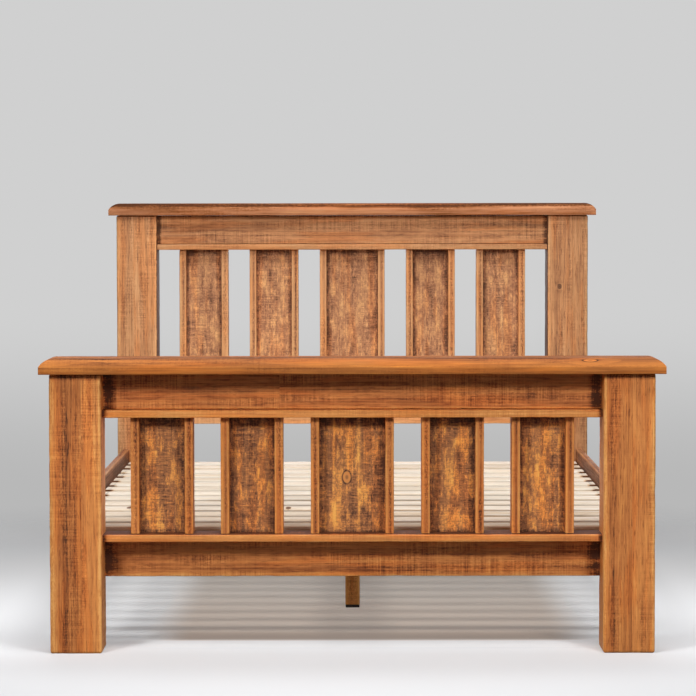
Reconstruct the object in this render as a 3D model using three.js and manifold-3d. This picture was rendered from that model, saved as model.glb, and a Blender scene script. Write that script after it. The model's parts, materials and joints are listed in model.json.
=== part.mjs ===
// A rustic queen-size wooden bed frame, in millimetres, +Z up.
// The origin is on the floor under the middle of the bed. -Y is the foot and +Y is the head.
import * as THREE from "three";
import { mergeVertices } from "three/addons/utils/BufferGeometryUtils.js";
import Module from "manifold-3d";

const wasm = await Module();
wasm.setup();

// Driving dimensions
const MATTRESS_WIDTH = 1530;
const MATTRESS_LENGTH = 2030;
const SIDE_CLEARANCE = 9; // between the mattress and each side rail
const END_CLEARANCE = 10; // between the mattress and each pair of posts
const FIT_GAP = 0.3; // clearance of a tenon, shank or tongue in its hole

const POST_SIZE = 140;
const POST_EDGE_RADIUS = 7;
const FOOT_POST_HEIGHT = 754;
const HEAD_POST_HEIGHT = 1173;

const CAP_THICKNESS = 42;
const CAP_OVERHANG = 25;
const CAP_ROUND_WIDTH = 38;
const CAP_ROUND_HEIGHT = 22;
const CAP_ROUND_STEPS = 8;

const RAIL_THICKNESS = 45;
const LOW_RAIL_THICKNESS = 35;
const RAIL_EDGE_RADIUS = 3;
const STRIP_DEPTH = 106;
const STRIP_EDGE_RADIUS = 3;
const BATTEN_DEPTH = 74;
const BATTEN_WIDTH = 24;
const PANEL_BOARD_RECESS = 34; // from the battens' fronts to the board
const PANEL_BOARD_THICKNESS = 20;

// How far each row of parts stands back from the posts' show face
const FOOT_SETBACK = { rail: 68, strip: 34, batten: 62 };
const HEAD_SETBACK = { rail: 40, strip: 17, batten: 45 };

const TENON_LENGTH = 40;
const TENON_THICKNESS = 20;
const TENON_SHOULDER = 12;

const PANEL_WIDTH = 170;
const MIDDLE_PANEL_WIDTH = 226;
const PANEL_COUNT = 5;

const FOOT_TOP_RAIL_BOTTOM = 655;
const FOOT_UPPER_STRIP_BOTTOM = 633.5;
const FOOT_LEDGE_BOTTOM = 297;
const FOOT_LEDGE_TOP = 317;
const LOW_RAIL_BOTTOM = 195;

const HEAD_TOP_RAIL_BOTTOM = 1074;
const HEAD_UPPER_STRIP_BOTTOM = 1054;
const HEAD_LEDGE_TOP = 569;
const HEAD_LEDGE_BOTTOM = 548;
const HEAD_LOWER_RAIL_BOTTOM = 448;

const SIDE_RAIL_THICKNESS = 22;
const SIDE_RAIL_TOP = 364;
const SIDE_RAIL_INSET = 19; // from the posts' outer faces
const SIDE_CLEAT_WIDTH = 30;
const SIDE_CLEAT_HEIGHT = 40;
const END_CLEAT_THICKNESS = 36;
const END_CLEAT_HEIGHT = 60;

const SLAT_COUNT = 14;
const SLAT_WIDTH = 90;
const SLAT_THICKNESS = 20;
const SLAT_PITCH = 144.5;
const SLAT_TOP = 324;
const SLAT_END_GAP = 4;
const SLAT_EDGE_RADIUS = 2;

const BEAM_WIDTH = 45;
const BEAM_HEIGHT = 90;
const LEG_SIZE = 44;
const LEG_PLACE = 276; // each centre leg's distance from mid-length
const PAD_SIZE = 42;
const PAD_THICKNESS = 8;

const BRACKET_THICKNESS = 3;
const BRACKET_LEG = 60;
const BRACKET_HEIGHT = 38;
const BRACKET_BOTTOM = 212;
const BRACKET_HOLE_RADIUS = 4.5;
const SCREW_HOLE_RADIUS = 2.5;
const BOLT_RADIUS = 4;
const BOLT_SHANK = 70;
const BOLT_HEAD_RADIUS = 7.5;
const BOLT_HEAD_HEIGHT = 5.5;
const BOLT_PLACE = 32; // from the bracket's corner to its bolt
const HANGER_THICKNESS = 2;
const HANGER_SEAT = 40;
const HANGER_FLANGE = 26;
const HANGER_CHEEK_HEIGHT = 50;

const ROUND_STEPS = 3;
const HOLE_SEGMENTS = 24;

// Derived dimensions
const RAIL_INNER_X = MATTRESS_WIDTH / 2 + SIDE_CLEARANCE;
const RAIL_OUTER_X = RAIL_INNER_X + SIDE_RAIL_THICKNESS;
const POST_OUTER_X = RAIL_OUTER_X + SIDE_RAIL_INSET;
const POST_INNER_X = POST_OUTER_X - POST_SIZE;
const FRAME_INNER_Y = MATTRESS_LENGTH / 2 + END_CLEARANCE;
const FRAME_OUTER_Y = FRAME_INNER_Y + POST_SIZE;
const FOOT_SHOW_Y = -FRAME_OUTER_Y;
const HEAD_SHOW_Y = FRAME_INNER_Y;
const SLAT_BOTTOM = SLAT_TOP - SLAT_THICKNESS;
const BEAM_BOTTOM = SLAT_BOTTOM - BEAM_HEIGHT;
const CLEAT_INNER_Y = FRAME_INNER_Y - END_CLEAT_THICKNESS;

const bed = new THREE.Group();

const FINISHES = {
  stained_pine: { color: 0xb8733a, roughness: 0.62, metalness: 0 },
  cap_pine: { color: 0xc9803f, roughness: 0.5, metalness: 0 },
  rough_board: { color: 0x7d5233, roughness: 0.78, metalness: 0 },
  slat_pine: { color: 0xe9d8bf, roughness: 0.7, metalness: 0 },
  dark_steel: { color: 0x4a4a4c, roughness: 0.45, metalness: 0.8 },
  leg_pad: { color: 0x3a3029, roughness: 0.85, metalness: 0 },
};

// Solids

function solidOf(geometry) {
  geometry.deleteAttribute("normal");
  geometry.deleteAttribute("uv");
  const welded = mergeVertices(geometry, 1e-4);
  return new wasm.Manifold(
    new wasm.Mesh({
      numProp: 3,
      vertProperties: welded.attributes.position.array,
      triVerts: new Uint32Array(welded.index.array),
    }),
  );
}

function geometryOf(solid) {
  const mesh = solid.getMesh();
  const geometry = new THREE.BufferGeometry();
  geometry.setAttribute("position", new THREE.BufferAttribute(mesh.vertProperties, 3));
  geometry.setIndex(new THREE.BufferAttribute(mesh.triVerts, 1));
  const faceted = geometry.toNonIndexed();
  faceted.computeVertexNormals();
  return faceted;
}

function add(name, geometry, finish) {
  const material = new THREE.MeshStandardMaterial(FINISHES[finish]);
  const mesh = new THREE.Mesh(geometry, material);
  mesh.name = name;
  bed.add(mesh);
}

// A closed box from its lowest and highest corners.
function block(low, high) {
  const size = high.map((value, i) => value - low[i]);
  const centre = high.map((value, i) => (value + low[i]) / 2);
  return new THREE.BoxGeometry(...size).translate(...centre);
}

function roundedRectangle(width, height, radius) {
  const x = width / 2;
  const y = height / 2;
  const shape = new THREE.Shape();
  shape.absarc(x - radius, y - radius, radius, 0, Math.PI / 2);
  shape.absarc(-x + radius, y - radius, radius, Math.PI / 2, Math.PI);
  shape.absarc(-x + radius, -y + radius, radius, Math.PI, 1.5 * Math.PI);
  shape.absarc(x - radius, -y + radius, radius, 1.5 * Math.PI, 2 * Math.PI);
  return shape;
}

// A sawn board from its lowest and highest corners, with its four long edges eased.
function board(low, high, along, radius) {
  const size = high.map((value, i) => value - low[i]);
  const centre = high.map((value, i) => (value + low[i]) / 2);
  const across = { x: [2, 1], y: [0, 2], z: [0, 1] }[along];
  const length = size[{ x: 0, y: 1, z: 2 }[along]];
  const shape = roundedRectangle(size[across[0]], size[across[1]], radius);
  const geometry = new THREE.ExtrudeGeometry(shape, {
    depth: length,
    bevelEnabled: false,
    curveSegments: ROUND_STEPS,
  });
  geometry.translate(0, 0, -length / 2);
  if (along === "x") geometry.rotateY(Math.PI / 2);
  if (along === "y") geometry.rotateX(Math.PI / 2);
  return geometry.translate(...centre);
}

// A cylinder along Y from y0 to y1.
function rod(x, z, y0, y1, radius, segments) {
  const geometry = new THREE.CylinderGeometry(radius, radius, y1 - y0, segments);
  return geometry.translate(x, (y0 + y1) / 2, z);
}

// Posts, rails and caps

// The space that a tenon needs in a post, or the tenon bar itself when grow is 0.
function tenonBar(rail, grow) {
  const reach = POST_INNER_X + TENON_LENGTH + grow;
  const middle = (rail.y0 + rail.y1) / 2;
  const half = TENON_THICKNESS / 2 + grow;
  return block(
    [-reach, middle - half, rail.z0 + TENON_SHOULDER - grow],
    [reach, middle + half, rail.z1 - TENON_SHOULDER + grow],
  );
}

function tenonedRail(rail) {
  const body = board(
    [-POST_INNER_X, rail.y0, rail.z0],
    [POST_INNER_X, rail.y1, rail.z1],
    "x",
    RAIL_EDGE_RADIUS,
  );
  const joined = solidOf(body).add(solidOf(tenonBar(rail, 0)));
  add(rail.name, geometryOf(joined), "stained_pine");
}

function boltCentre(side, end) {
  const z = BRACKET_BOTTOM + BRACKET_HEIGHT / 2;
  return { x: side * (RAIL_INNER_X - BOLT_PLACE), y: end * FRAME_INNER_Y, z };
}

function post(name, side, end, height, rails) {
  const nearY = end * FRAME_INNER_Y;
  const farY = end * FRAME_OUTER_Y;
  const xs = [side * POST_INNER_X, side * POST_OUTER_X].sort((a, b) => a - b);
  const ys = [nearY, farY].sort((a, b) => a - b);
  let solid = solidOf(
    board([xs[0], ys[0], 0], [xs[1], ys[1], height], "z", POST_EDGE_RADIUS),
  );
  for (const rail of rails) {
    solid = solid.subtract(solidOf(tenonBar(rail, FIT_GAP)));
  }
  const bolt = boltCentre(side, end);
  const tip = bolt.y + end * (BOLT_SHANK + 2);
  const hole = rod(
    bolt.x,
    bolt.z,
    Math.min(tip, bolt.y - end),
    Math.max(tip, bolt.y - end),
    BOLT_RADIUS + FIT_GAP,
    HOLE_SEGMENTS,
  );
  solid = solid.subtract(solidOf(hole));
  add(name, geometryOf(solid), "stained_pine");
}

// A cap's section: flat below, upright to an arris, then an arc that ends level with the top.
function capSection(width) {
  const half = width / 2;
  const flat = half - CAP_ROUND_WIDTH;
  const turn = 2 * Math.atan2(CAP_ROUND_HEIGHT, CAP_ROUND_WIDTH);
  const radius = CAP_ROUND_WIDTH / Math.sin(turn);
  const centre = CAP_THICKNESS - radius;
  const shape = new THREE.Shape();
  shape.moveTo(-half, 0);
  shape.lineTo(half, 0);
  shape.absarc(flat, centre, radius, Math.PI / 2 - turn, Math.PI / 2);
  shape.absarc(-flat, centre, radius, Math.PI / 2, Math.PI / 2 + turn);
  return shape;
}

function capSweep(width, length) {
  const geometry = new THREE.ExtrudeGeometry(capSection(width), {
    depth: length,
    bevelEnabled: false,
    curveSegments: CAP_ROUND_STEPS,
  });
  return geometry.translate(0, 0, -length / 2).rotateX(Math.PI / 2);
}

// A cap is rounded on all four upper edges, so two sweeps are intersected.
function cap(name, end, bottom) {
  const width = POST_SIZE + 2 * CAP_OVERHANG;
  const length = 2 * (POST_OUTER_X + CAP_OVERHANG);
  const lengthwise = solidOf(capSweep(width, length).rotateZ(Math.PI / 2));
  const crosswise = solidOf(capSweep(length, width));
  const middleY = (end * (FRAME_INNER_Y + FRAME_OUTER_Y)) / 2;
  const geometry = geometryOf(lengthwise.intersect(crosswise));
  add(name, geometry.translate(0, middleY, bottom), "cap_pine");
}

function strip(name, y0, z0, z1) {
  const geometry = board(
    [-POST_INNER_X, y0, z0],
    [POST_INNER_X, y0 + STRIP_DEPTH, z1],
    "x",
    STRIP_EDGE_RADIUS,
  );
  add(name, geometry, "stained_pine");
}

// Panels

// The plan of one panel: a board let into a batten at each side, as an H lying on its side.
function panelPlan(width) {
  const side = width / 2;
  const inner = side - BATTEN_WIDTH;
  const boardFront = PANEL_BOARD_RECESS;
  const boardBack = boardFront + PANEL_BOARD_THICKNESS;
  const shape = new THREE.Shape();
  shape.moveTo(-side, 0);
  shape.lineTo(-inner, 0);
  shape.lineTo(-inner, boardFront);
  shape.lineTo(inner, boardFront);
  shape.lineTo(inner, 0);
  shape.lineTo(side, 0);
  shape.lineTo(side, BATTEN_DEPTH);
  shape.lineTo(inner, BATTEN_DEPTH);
  shape.lineTo(inner, boardBack);
  shape.lineTo(-inner, boardBack);
  shape.lineTo(-inner, BATTEN_DEPTH);
  shape.lineTo(-side, BATTEN_DEPTH);
  return shape;
}

// Five panels stand in a row with equal gaps: four narrow, and a wider one in the middle.
function panelRow(prefix, frontY, z0, z1) {
  const widths = Array(PANEL_COUNT).fill(PANEL_WIDTH);
  widths[(PANEL_COUNT - 1) / 2] = MIDDLE_PANEL_WIDTH;
  const used = widths.reduce((sum, width) => sum + width, 0);
  const gap = (2 * POST_INNER_X - used) / (PANEL_COUNT + 1);
  let left = -POST_INNER_X + gap;
  widths.forEach((width, i) => {
    const geometry = new THREE.ExtrudeGeometry(panelPlan(width), {
      depth: z1 - z0,
      bevelEnabled: false,
    });
    geometry.translate(left + width / 2, frontY, z0);
    add(`${prefix}_panel_${i + 1}`, geometry, "rough_board");
    left += width + gap;
  });
}

// Bed base

function sideRail(name, side) {
  const xs = [side * RAIL_INNER_X, side * RAIL_OUTER_X].sort((a, b) => a - b);
  const geometry = board(
    [xs[0], -FRAME_INNER_Y, LOW_RAIL_BOTTOM],
    [xs[1], FRAME_INNER_Y, SIDE_RAIL_TOP],
    "y",
    RAIL_EDGE_RADIUS,
  );
  add(name, geometry, "stained_pine");
}

function sideCleat(name, side) {
  const inner = side * (RAIL_INNER_X - SIDE_CLEAT_WIDTH);
  const xs = [side * RAIL_INNER_X, inner].sort((a, b) => a - b);
  const geometry = board(
    [xs[0], -CLEAT_INNER_Y, SLAT_BOTTOM - SIDE_CLEAT_HEIGHT],
    [xs[1], CLEAT_INNER_Y, SLAT_BOTTOM],
    "y",
    SLAT_EDGE_RADIUS,
  );
  add(name, geometry, "slat_pine");
}

function endCleat(name, end) {
  const ys = [end * CLEAT_INNER_Y, end * FRAME_INNER_Y].sort((a, b) => a - b);
  const top = FOOT_LEDGE_TOP - STRIP_EDGE_RADIUS;
  const geometry = board(
    [-RAIL_INNER_X, ys[0], top - END_CLEAT_HEIGHT],
    [RAIL_INNER_X, ys[1], top],
    "x",
    RAIL_EDGE_RADIUS,
  );
  add(name, geometry, "stained_pine");
}

function slats() {
  const reach = RAIL_INNER_X - SLAT_END_GAP;
  for (let i = 0; i < SLAT_COUNT; i += 1) {
    const y = (i - (SLAT_COUNT - 1) / 2) * SLAT_PITCH;
    const geometry = board(
      [-reach, y - SLAT_WIDTH / 2, SLAT_BOTTOM],
      [reach, y + SLAT_WIDTH / 2, SLAT_TOP],
      "x",
      SLAT_EDGE_RADIUS,
    );
    add(`slat_${String(i + 1).padStart(2, "0")}`, geometry, "slat_pine");
  }
}

function centreBeam() {
  const reach = CLEAT_INNER_Y - HANGER_THICKNESS;
  const geometry = board(
    [-BEAM_WIDTH / 2, -reach, BEAM_BOTTOM],
    [BEAM_WIDTH / 2, reach, SLAT_BOTTOM],
    "y",
    SLAT_EDGE_RADIUS,
  );
  add("centre_beam", geometry, "slat_pine");
}

function centreLeg(place, end) {
  const y = end * LEG_PLACE;
  const leg = board(
    [-LEG_SIZE / 2, y - LEG_SIZE / 2, PAD_THICKNESS],
    [LEG_SIZE / 2, y + LEG_SIZE / 2, BEAM_BOTTOM],
    "z",
    RAIL_EDGE_RADIUS,
  );
  add(`centre_leg_${place}`, leg, "stained_pine");
  const pad = board(
    [-PAD_SIZE / 2, y - PAD_SIZE / 2, 0],
    [PAD_SIZE / 2, y + PAD_SIZE / 2, PAD_THICKNESS],
    "z",
    RAIL_EDGE_RADIUS,
  );
  add(`centre_leg_pad_${place}`, pad, "leg_pad");
}

// Steel fittings

// An angle plate in the corner between a side rail and a post, with a bolt hole in its post leg.
function cornerBracket(name, side, end) {
  const x = side * RAIL_INNER_X;
  const y = end * FRAME_INNER_Y;
  const top = BRACKET_BOTTOM + BRACKET_HEIGHT;
  const span = (from, length, direction) =>
    [from, from - direction * length].sort((a, b) => a - b);
  const longX = span(x, BRACKET_LEG, side);
  const thinX = span(x, BRACKET_THICKNESS, side);
  const longY = span(y, BRACKET_LEG, end);
  const thinY = span(y, BRACKET_THICKNESS, end);
  const postLeg = block([longX[0], thinY[0], BRACKET_BOTTOM], [longX[1], thinY[1], top]);
  const railLeg = block([thinX[0], longY[0], BRACKET_BOTTOM], [thinX[1], longY[1], top]);
  const bolt = boltCentre(side, end);
  const boltHole = rod(bolt.x, bolt.z, y - 10, y + 10, BRACKET_HOLE_RADIUS, HOLE_SEGMENTS);
  const screwHole = rod(0, 0, -10, 10, SCREW_HOLE_RADIUS, HOLE_SEGMENTS)
    .rotateZ(Math.PI / 2)
    .translate(x, y - end * BOLT_PLACE, bolt.z);
  const solid = solidOf(postLeg)
    .add(solidOf(railLeg))
    .subtract(solidOf(boltHole))
    .subtract(solidOf(screwHole));
  add(name, geometryOf(solid), "dark_steel");
}

// A hexagon-headed coach bolt through the bracket and into the post.
function cornerBolt(name, side, end) {
  const { x, y, z } = boltCentre(side, end);
  const seat = y - end * BRACKET_THICKNESS;
  const crown = seat - end * BOLT_HEAD_HEIGHT;
  const tip = seat + end * BOLT_SHANK;
  const head = rod(x, z, Math.min(seat, crown), Math.max(seat, crown), BOLT_HEAD_RADIUS, 6);
  const start = crown + end;
  const shank = rod(x, z, Math.min(start, tip), Math.max(start, tip), BOLT_RADIUS, HOLE_SEGMENTS);
  add(name, geometryOf(solidOf(head).add(solidOf(shank))), "dark_steel");
}

// A folded seat that holds one end of the centre beam against its end cleat.
function beamHanger(name, end) {
  const face = end * CLEAT_INNER_Y;
  const back = face - end * HANGER_THICKNESS;
  const lip = back - end * HANGER_SEAT;
  const slot = BEAM_WIDTH / 2 + FIT_GAP;
  const cheek = slot + HANGER_THICKNESS;
  const floor = BEAM_BOTTOM - HANGER_THICKNESS;
  const backYs = [face, back].sort((a, b) => a - b);
  const seatYs = [face, lip].sort((a, b) => a - b);
  const flange = cheek + HANGER_FLANGE;
  let solid = solidOf(
    block([-flange, backYs[0], floor], [flange, backYs[1], SLAT_BOTTOM - 1]),
  );
  solid = solid.add(
    solidOf(block([-cheek, seatYs[0], floor], [cheek, seatYs[1], BEAM_BOTTOM])),
  );
  for (const side of [-1, 1]) {
    const xs = [side * slot, side * cheek].sort((a, b) => a - b);
    const top = floor + HANGER_CHEEK_HEIGHT;
    solid = solid.add(solidOf(block([xs[0], seatYs[0], floor], [xs[1], seatYs[1], top])));
  }
  add(name, geometryOf(solid), "dark_steel");
}

// Assembly

const footRails = [
  {
    name: "foot_top_rail",
    y0: FOOT_SHOW_Y + FOOT_SETBACK.rail,
    y1: FOOT_SHOW_Y + FOOT_SETBACK.rail + RAIL_THICKNESS,
    z0: FOOT_TOP_RAIL_BOTTOM,
    z1: FOOT_POST_HEIGHT,
  },
  {
    name: "foot_bottom_rail",
    y0: -FRAME_INNER_Y - LOW_RAIL_THICKNESS,
    y1: -FRAME_INNER_Y,
    z0: LOW_RAIL_BOTTOM,
    z1: FOOT_LEDGE_BOTTOM,
  },
];

const headRails = [
  {
    name: "head_top_rail",
    y0: HEAD_SHOW_Y + HEAD_SETBACK.rail,
    y1: HEAD_SHOW_Y + HEAD_SETBACK.rail + RAIL_THICKNESS,
    z0: HEAD_TOP_RAIL_BOTTOM,
    z1: HEAD_POST_HEIGHT,
  },
  {
    name: "head_lower_rail",
    y0: HEAD_SHOW_Y + HEAD_SETBACK.rail,
    y1: HEAD_SHOW_Y + HEAD_SETBACK.rail + RAIL_THICKNESS,
    z0: HEAD_LOWER_RAIL_BOTTOM,
    z1: HEAD_LEDGE_BOTTOM,
  },
  {
    name: "head_cross_rail",
    y0: FRAME_INNER_Y,
    y1: FRAME_INNER_Y + LOW_RAIL_THICKNESS,
    z0: LOW_RAIL_BOTTOM,
    z1: FOOT_LEDGE_BOTTOM,
  },
];

const ENDS = [
  { name: "foot", end: -1, height: FOOT_POST_HEIGHT, rails: footRails },
  { name: "head", end: 1, height: HEAD_POST_HEIGHT, rails: headRails },
];
const SIDES = [
  { name: "left", side: -1 },
  { name: "right", side: 1 },
];

for (const { name, end, height, rails } of ENDS) {
  for (const { name: hand, side } of SIDES) {
    post(`${name}_post_${hand}`, side, end, height, rails);
    cornerBracket(`${name}_bracket_${hand}`, side, end);
    cornerBolt(`${name}_bolt_${hand}`, side, end);
  }
  rails.forEach(tenonedRail);
  cap(`${name}_cap`, end, height);
  endCleat(`${name}_end_cleat`, end);
  beamHanger(`${name}_beam_hanger`, end);
  centreLeg(name, end);
}

const footStripY = FOOT_SHOW_Y + FOOT_SETBACK.strip;
const headStripY = HEAD_SHOW_Y + HEAD_SETBACK.strip;
strip("foot_upper_strip", footStripY, FOOT_UPPER_STRIP_BOTTOM, FOOT_TOP_RAIL_BOTTOM);
strip("foot_ledge", footStripY, FOOT_LEDGE_BOTTOM, FOOT_LEDGE_TOP);
strip("head_upper_strip", headStripY, HEAD_UPPER_STRIP_BOTTOM, HEAD_TOP_RAIL_BOTTOM);
strip("head_ledge", headStripY, HEAD_LEDGE_BOTTOM, HEAD_LEDGE_TOP);

const footPanelY = FOOT_SHOW_Y + FOOT_SETBACK.batten;
const headPanelY = HEAD_SHOW_Y + HEAD_SETBACK.batten;
panelRow("foot", footPanelY, FOOT_LEDGE_TOP, FOOT_UPPER_STRIP_BOTTOM);
panelRow("head", headPanelY, HEAD_LEDGE_TOP, HEAD_UPPER_STRIP_BOTTOM);

for (const { name, side } of SIDES) {
  sideRail(`side_rail_${name}`, side);
  sideCleat(`side_cleat_${name}`, side);
}
slats();
centreBeam();

export default bed;
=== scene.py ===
# The looks of the rustic pine bed frame. Metres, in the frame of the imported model:
# the origin is on the floor under the middle of the bed, -Y is the foot and +Y the head.
import json
import math
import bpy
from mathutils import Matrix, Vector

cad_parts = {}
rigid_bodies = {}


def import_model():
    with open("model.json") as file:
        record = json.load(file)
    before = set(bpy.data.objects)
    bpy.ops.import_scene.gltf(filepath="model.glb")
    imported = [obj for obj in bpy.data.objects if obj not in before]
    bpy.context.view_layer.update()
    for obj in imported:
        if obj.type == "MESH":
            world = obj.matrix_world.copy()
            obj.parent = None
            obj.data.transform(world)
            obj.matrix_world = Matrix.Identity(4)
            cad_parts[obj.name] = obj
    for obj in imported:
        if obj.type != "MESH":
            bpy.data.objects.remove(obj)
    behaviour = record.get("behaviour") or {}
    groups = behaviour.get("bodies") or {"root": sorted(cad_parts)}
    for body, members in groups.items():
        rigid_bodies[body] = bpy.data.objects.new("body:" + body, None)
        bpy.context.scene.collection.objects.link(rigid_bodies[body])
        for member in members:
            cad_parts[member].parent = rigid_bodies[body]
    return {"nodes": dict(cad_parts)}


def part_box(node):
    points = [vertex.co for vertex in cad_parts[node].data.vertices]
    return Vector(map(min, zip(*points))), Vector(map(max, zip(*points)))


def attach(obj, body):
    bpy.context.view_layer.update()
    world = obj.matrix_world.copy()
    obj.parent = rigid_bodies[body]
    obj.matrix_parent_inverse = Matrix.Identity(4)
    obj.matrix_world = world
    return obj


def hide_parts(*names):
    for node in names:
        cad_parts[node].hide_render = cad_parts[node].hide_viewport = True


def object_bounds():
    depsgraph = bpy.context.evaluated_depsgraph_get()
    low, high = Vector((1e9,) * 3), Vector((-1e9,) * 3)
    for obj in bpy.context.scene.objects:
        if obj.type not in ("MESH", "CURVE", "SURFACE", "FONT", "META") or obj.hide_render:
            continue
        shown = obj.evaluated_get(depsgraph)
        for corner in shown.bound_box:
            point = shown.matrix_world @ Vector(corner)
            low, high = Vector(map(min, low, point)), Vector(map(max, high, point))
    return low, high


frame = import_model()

import zlib

import bpy
import numpy as np
from mathutils import Matrix, Vector

CAD_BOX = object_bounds()
MM = 0.001
FULL_TURN = 2 * math.pi

# Camera: a long lens at the height of the headboard's cap, looking a little down at the foot
EYE_HEIGHT = 1.1995
EYE_DISTANCE = 7.477  # in front of the foot cap
EYE_X = 0.002
LENS = 145.0
SENSOR_WIDTH = 36.0
PITCH_DOWN = math.radians(2.867)
YAW = math.radians(0.10)
ROLL = math.radians(-0.08)


def add_object(name, data):
    made = bpy.data.objects.new(name, data)
    bpy.context.scene.collection.objects.link(made)
    return made


def make_camera():
    data = bpy.data.cameras.new("camera")
    data.lens = LENS
    data.sensor_width = SENSOR_WIDTH
    data.clip_end = 200.0
    camera = add_object("camera", data)
    turn = (
        Matrix.Rotation(YAW, 4, "Z")
        @ Matrix.Rotation(math.pi / 2 - PITCH_DOWN, 4, "X")
        @ Matrix.Rotation(ROLL, 4, "Z")
    )
    place = Vector((EYE_X, CAD_BOX[0].y - EYE_DISTANCE, EYE_HEIGHT))
    camera.matrix_world = Matrix.Translation(place) @ turn
    bpy.context.scene.camera = camera


make_camera()

# ---- shader graphs


def srgb(*channels):
    """A colour of 0 to 255 as a linear RGBA."""
    shares = [channel / 255 for channel in channels]
    linear = [c / 12.92 if c <= 0.04045 else ((c + 0.055) / 1.055) ** 2.4 for c in shares]
    return (*linear, 1.0)


class Graph:
    """A node tree with short calls for the nodes that the materials share."""

    def __init__(self, tree):
        self.tree = tree
        tree.nodes.clear()

    def put(self, socket, value):
        if isinstance(value, bpy.types.NodeSocket):
            self.tree.links.new(value, socket)
        else:
            socket.default_value = value

    def node(self, kind, inputs=None, **settings):
        """A shader node, with values or links put in its inputs."""
        made = self.tree.nodes.new(f"ShaderNode{kind}")
        for key, value in settings.items():
            setattr(made, key, value)
        for key, value in (inputs or {}).items():
            self.put(made.inputs[key], value)
        return made

    def attribute(self, name, output="Fac"):
        return self.node("Attribute", attribute_name=name).outputs[output]

    def object_place(self):
        return self.node("TexCoord").outputs["Object"]

    def length(self, vector):
        return self.node("VectorMath", {0: vector}, operation="LENGTH").outputs["Value"]

    def part(self, vector, axis):
        return self.node("SeparateXYZ", {0: vector}).outputs[axis]

    def math(self, operation, *values):
        return self.node("Math", dict(enumerate(values)), operation=operation).outputs[0]

    def times(self, first, second):
        return self.math("MULTIPLY", first, second)

    def added(self, value, amount, base):
        """base with an amount of the value added to it."""
        return self.math("MULTIPLY_ADD", value, amount, base)

    def moved(self, noise, amount, base):
        """base moved either way by a noise, which lies round its middle of a half."""
        return self.added(self.math("SUBTRACT", noise, 0.5), amount, base)

    def span(self, value, low, high, to_low=0.0, to_high=1.0):
        """value carried smoothly from low..high to to_low..to_high, and held at the ends."""
        inputs = {0: value, 1: low, 2: high, 3: to_low, 4: to_high}
        return self.node("MapRange", inputs, interpolation_type="SMOOTHSTEP").outputs[0]

    def scaled(self, vector, scale, offset=(0.0, 0.0, 0.0)):
        inputs = {"Vector": vector, "Scale": scale, "Location": offset}
        return self.node("Mapping", inputs).outputs[0]

    def noise(self, vector, scale=1.0, detail=2.0, roughness=0.5, distortion=0.0):
        inputs = {"Vector": vector, "Scale": scale, "Detail": detail, "Roughness": roughness}
        return self.node("TexNoise", {**inputs, "Distortion": distortion}).outputs["Fac"]

    def mix(self, factor, first, second, blend="MIX"):
        inputs = {0: factor, 6: first, 7: second}
        return self.node("Mix", inputs, data_type="RGBA", blend_type=blend).outputs[2]

    def tinted(self, factor, colour, tint):
        """The colour, multiplied by a tint as far as the factor goes."""
        return self.mix(factor, colour, self.mix(1.0, colour, tint, "MULTIPLY"))

    def bump(self, height, distance):
        inputs = {"Height": height, "Distance": distance, "Strength": 1.0}
        return self.node("Bump", inputs).outputs["Normal"]

    def blend(self, factor, first, second):
        """One shader over another."""
        return self.node("MixShader", {0: factor, 1: first.outputs[0], 2: second.outputs[0]})

    def finish(self, shader, kind="OutputMaterial"):
        self.put(self.node(kind).inputs["Surface"], shader.outputs[0])

    def surface(self, colour, roughness, normal, **constants):
        inputs = {"Base Color": colour, "Roughness": roughness, "Normal": normal}
        shader = self.node("BsdfPrincipled", inputs)
        for key, value in constants.items():
            shader.inputs[key.replace("_", " ")].default_value = value
        self.finish(shader)


def new_material(name):
    made = bpy.data.materials.new(name)
    made.use_nodes = True
    return made, Graph(made.node_tree)


# ---- wood

# A finish runs through five colours, from rubbed-through wood to the stain left in the deepest
# marks. "middle" is the board's usual place on that run, and most of the numbers below it say
# how far each kind of mark moves the colour along it.
STAINED = {
    "slot": "stained_pine",
    "run": ((242, 176, 102), (222, 145, 76), (200, 122, 64), (156, 88, 44), (88, 50, 30)),
    "ruddy": (1.06, 0.92, 0.78, 1.0), "middle": 0.50, "streak": 1.0, "fine": 0.55, "cloud": 0.25,
    "fibres": 0.0, "rubbed": 0.0, "mottle": 1.3, "saw": 0.75, "patch": 0.10, "rings": 0.10,
    "wear": 0.42, "knot_heart": 0.36, "ring_pitch": 8.5 * MM, "roughness": (0.46, 0.72),
    "sheen": 0.3, "relief": 0.45 * MM,
}
# The head's runs are paler and greyer than the foot's: painted light, standing in for the hazy
# sheen on the headboard.
HEAD = {
    **STAINED,
    "run": ((248, 200, 142), (234, 174, 120), (214, 152, 102), (180, 122, 82), (118, 80, 58)),
    "streak": 0.9, "fine": 0.5, "mottle": 1.2, "saw": 0.7, "wear": 0.35,
}
CAP = {
    **STAINED,
    "slot": "cap_pine",
    "run": ((232, 154, 72), (206, 131, 62), (180, 110, 54), (142, 84, 44), (84, 50, 30)),
    "ruddy": (1.05, 0.94, 0.82, 1.0), "streak": 1.1, "fine": 0.5, "mottle": 0.6, "saw": 0.25,
    "patch": 0.12, "rings": 0.14, "wear": 0.30, "ring_pitch": 11 * MM, "roughness": (0.5, 0.7),
    "sheen": 0.08, "relief": 0.22 * MM,
}
BOARD = {
    **STAINED,
    "slot": "rough_board",
    "run": ((255, 190, 96), (236, 158, 80), (190, 124, 74), (146, 96, 64), (92, 60, 44)),
    "middle": 0.64, "streak": 0.7, "fine": 0.6, "cloud": 0.2, "rubbed": 0.50, "mottle": 0.6,
    "saw": 1.1, "patch": 0.12, "rings": 0.06, "wear": 0.0, "ring_pitch": 12 * MM,
    "roughness": (0.5, 0.82), "relief": 0.7 * MM,
}
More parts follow.
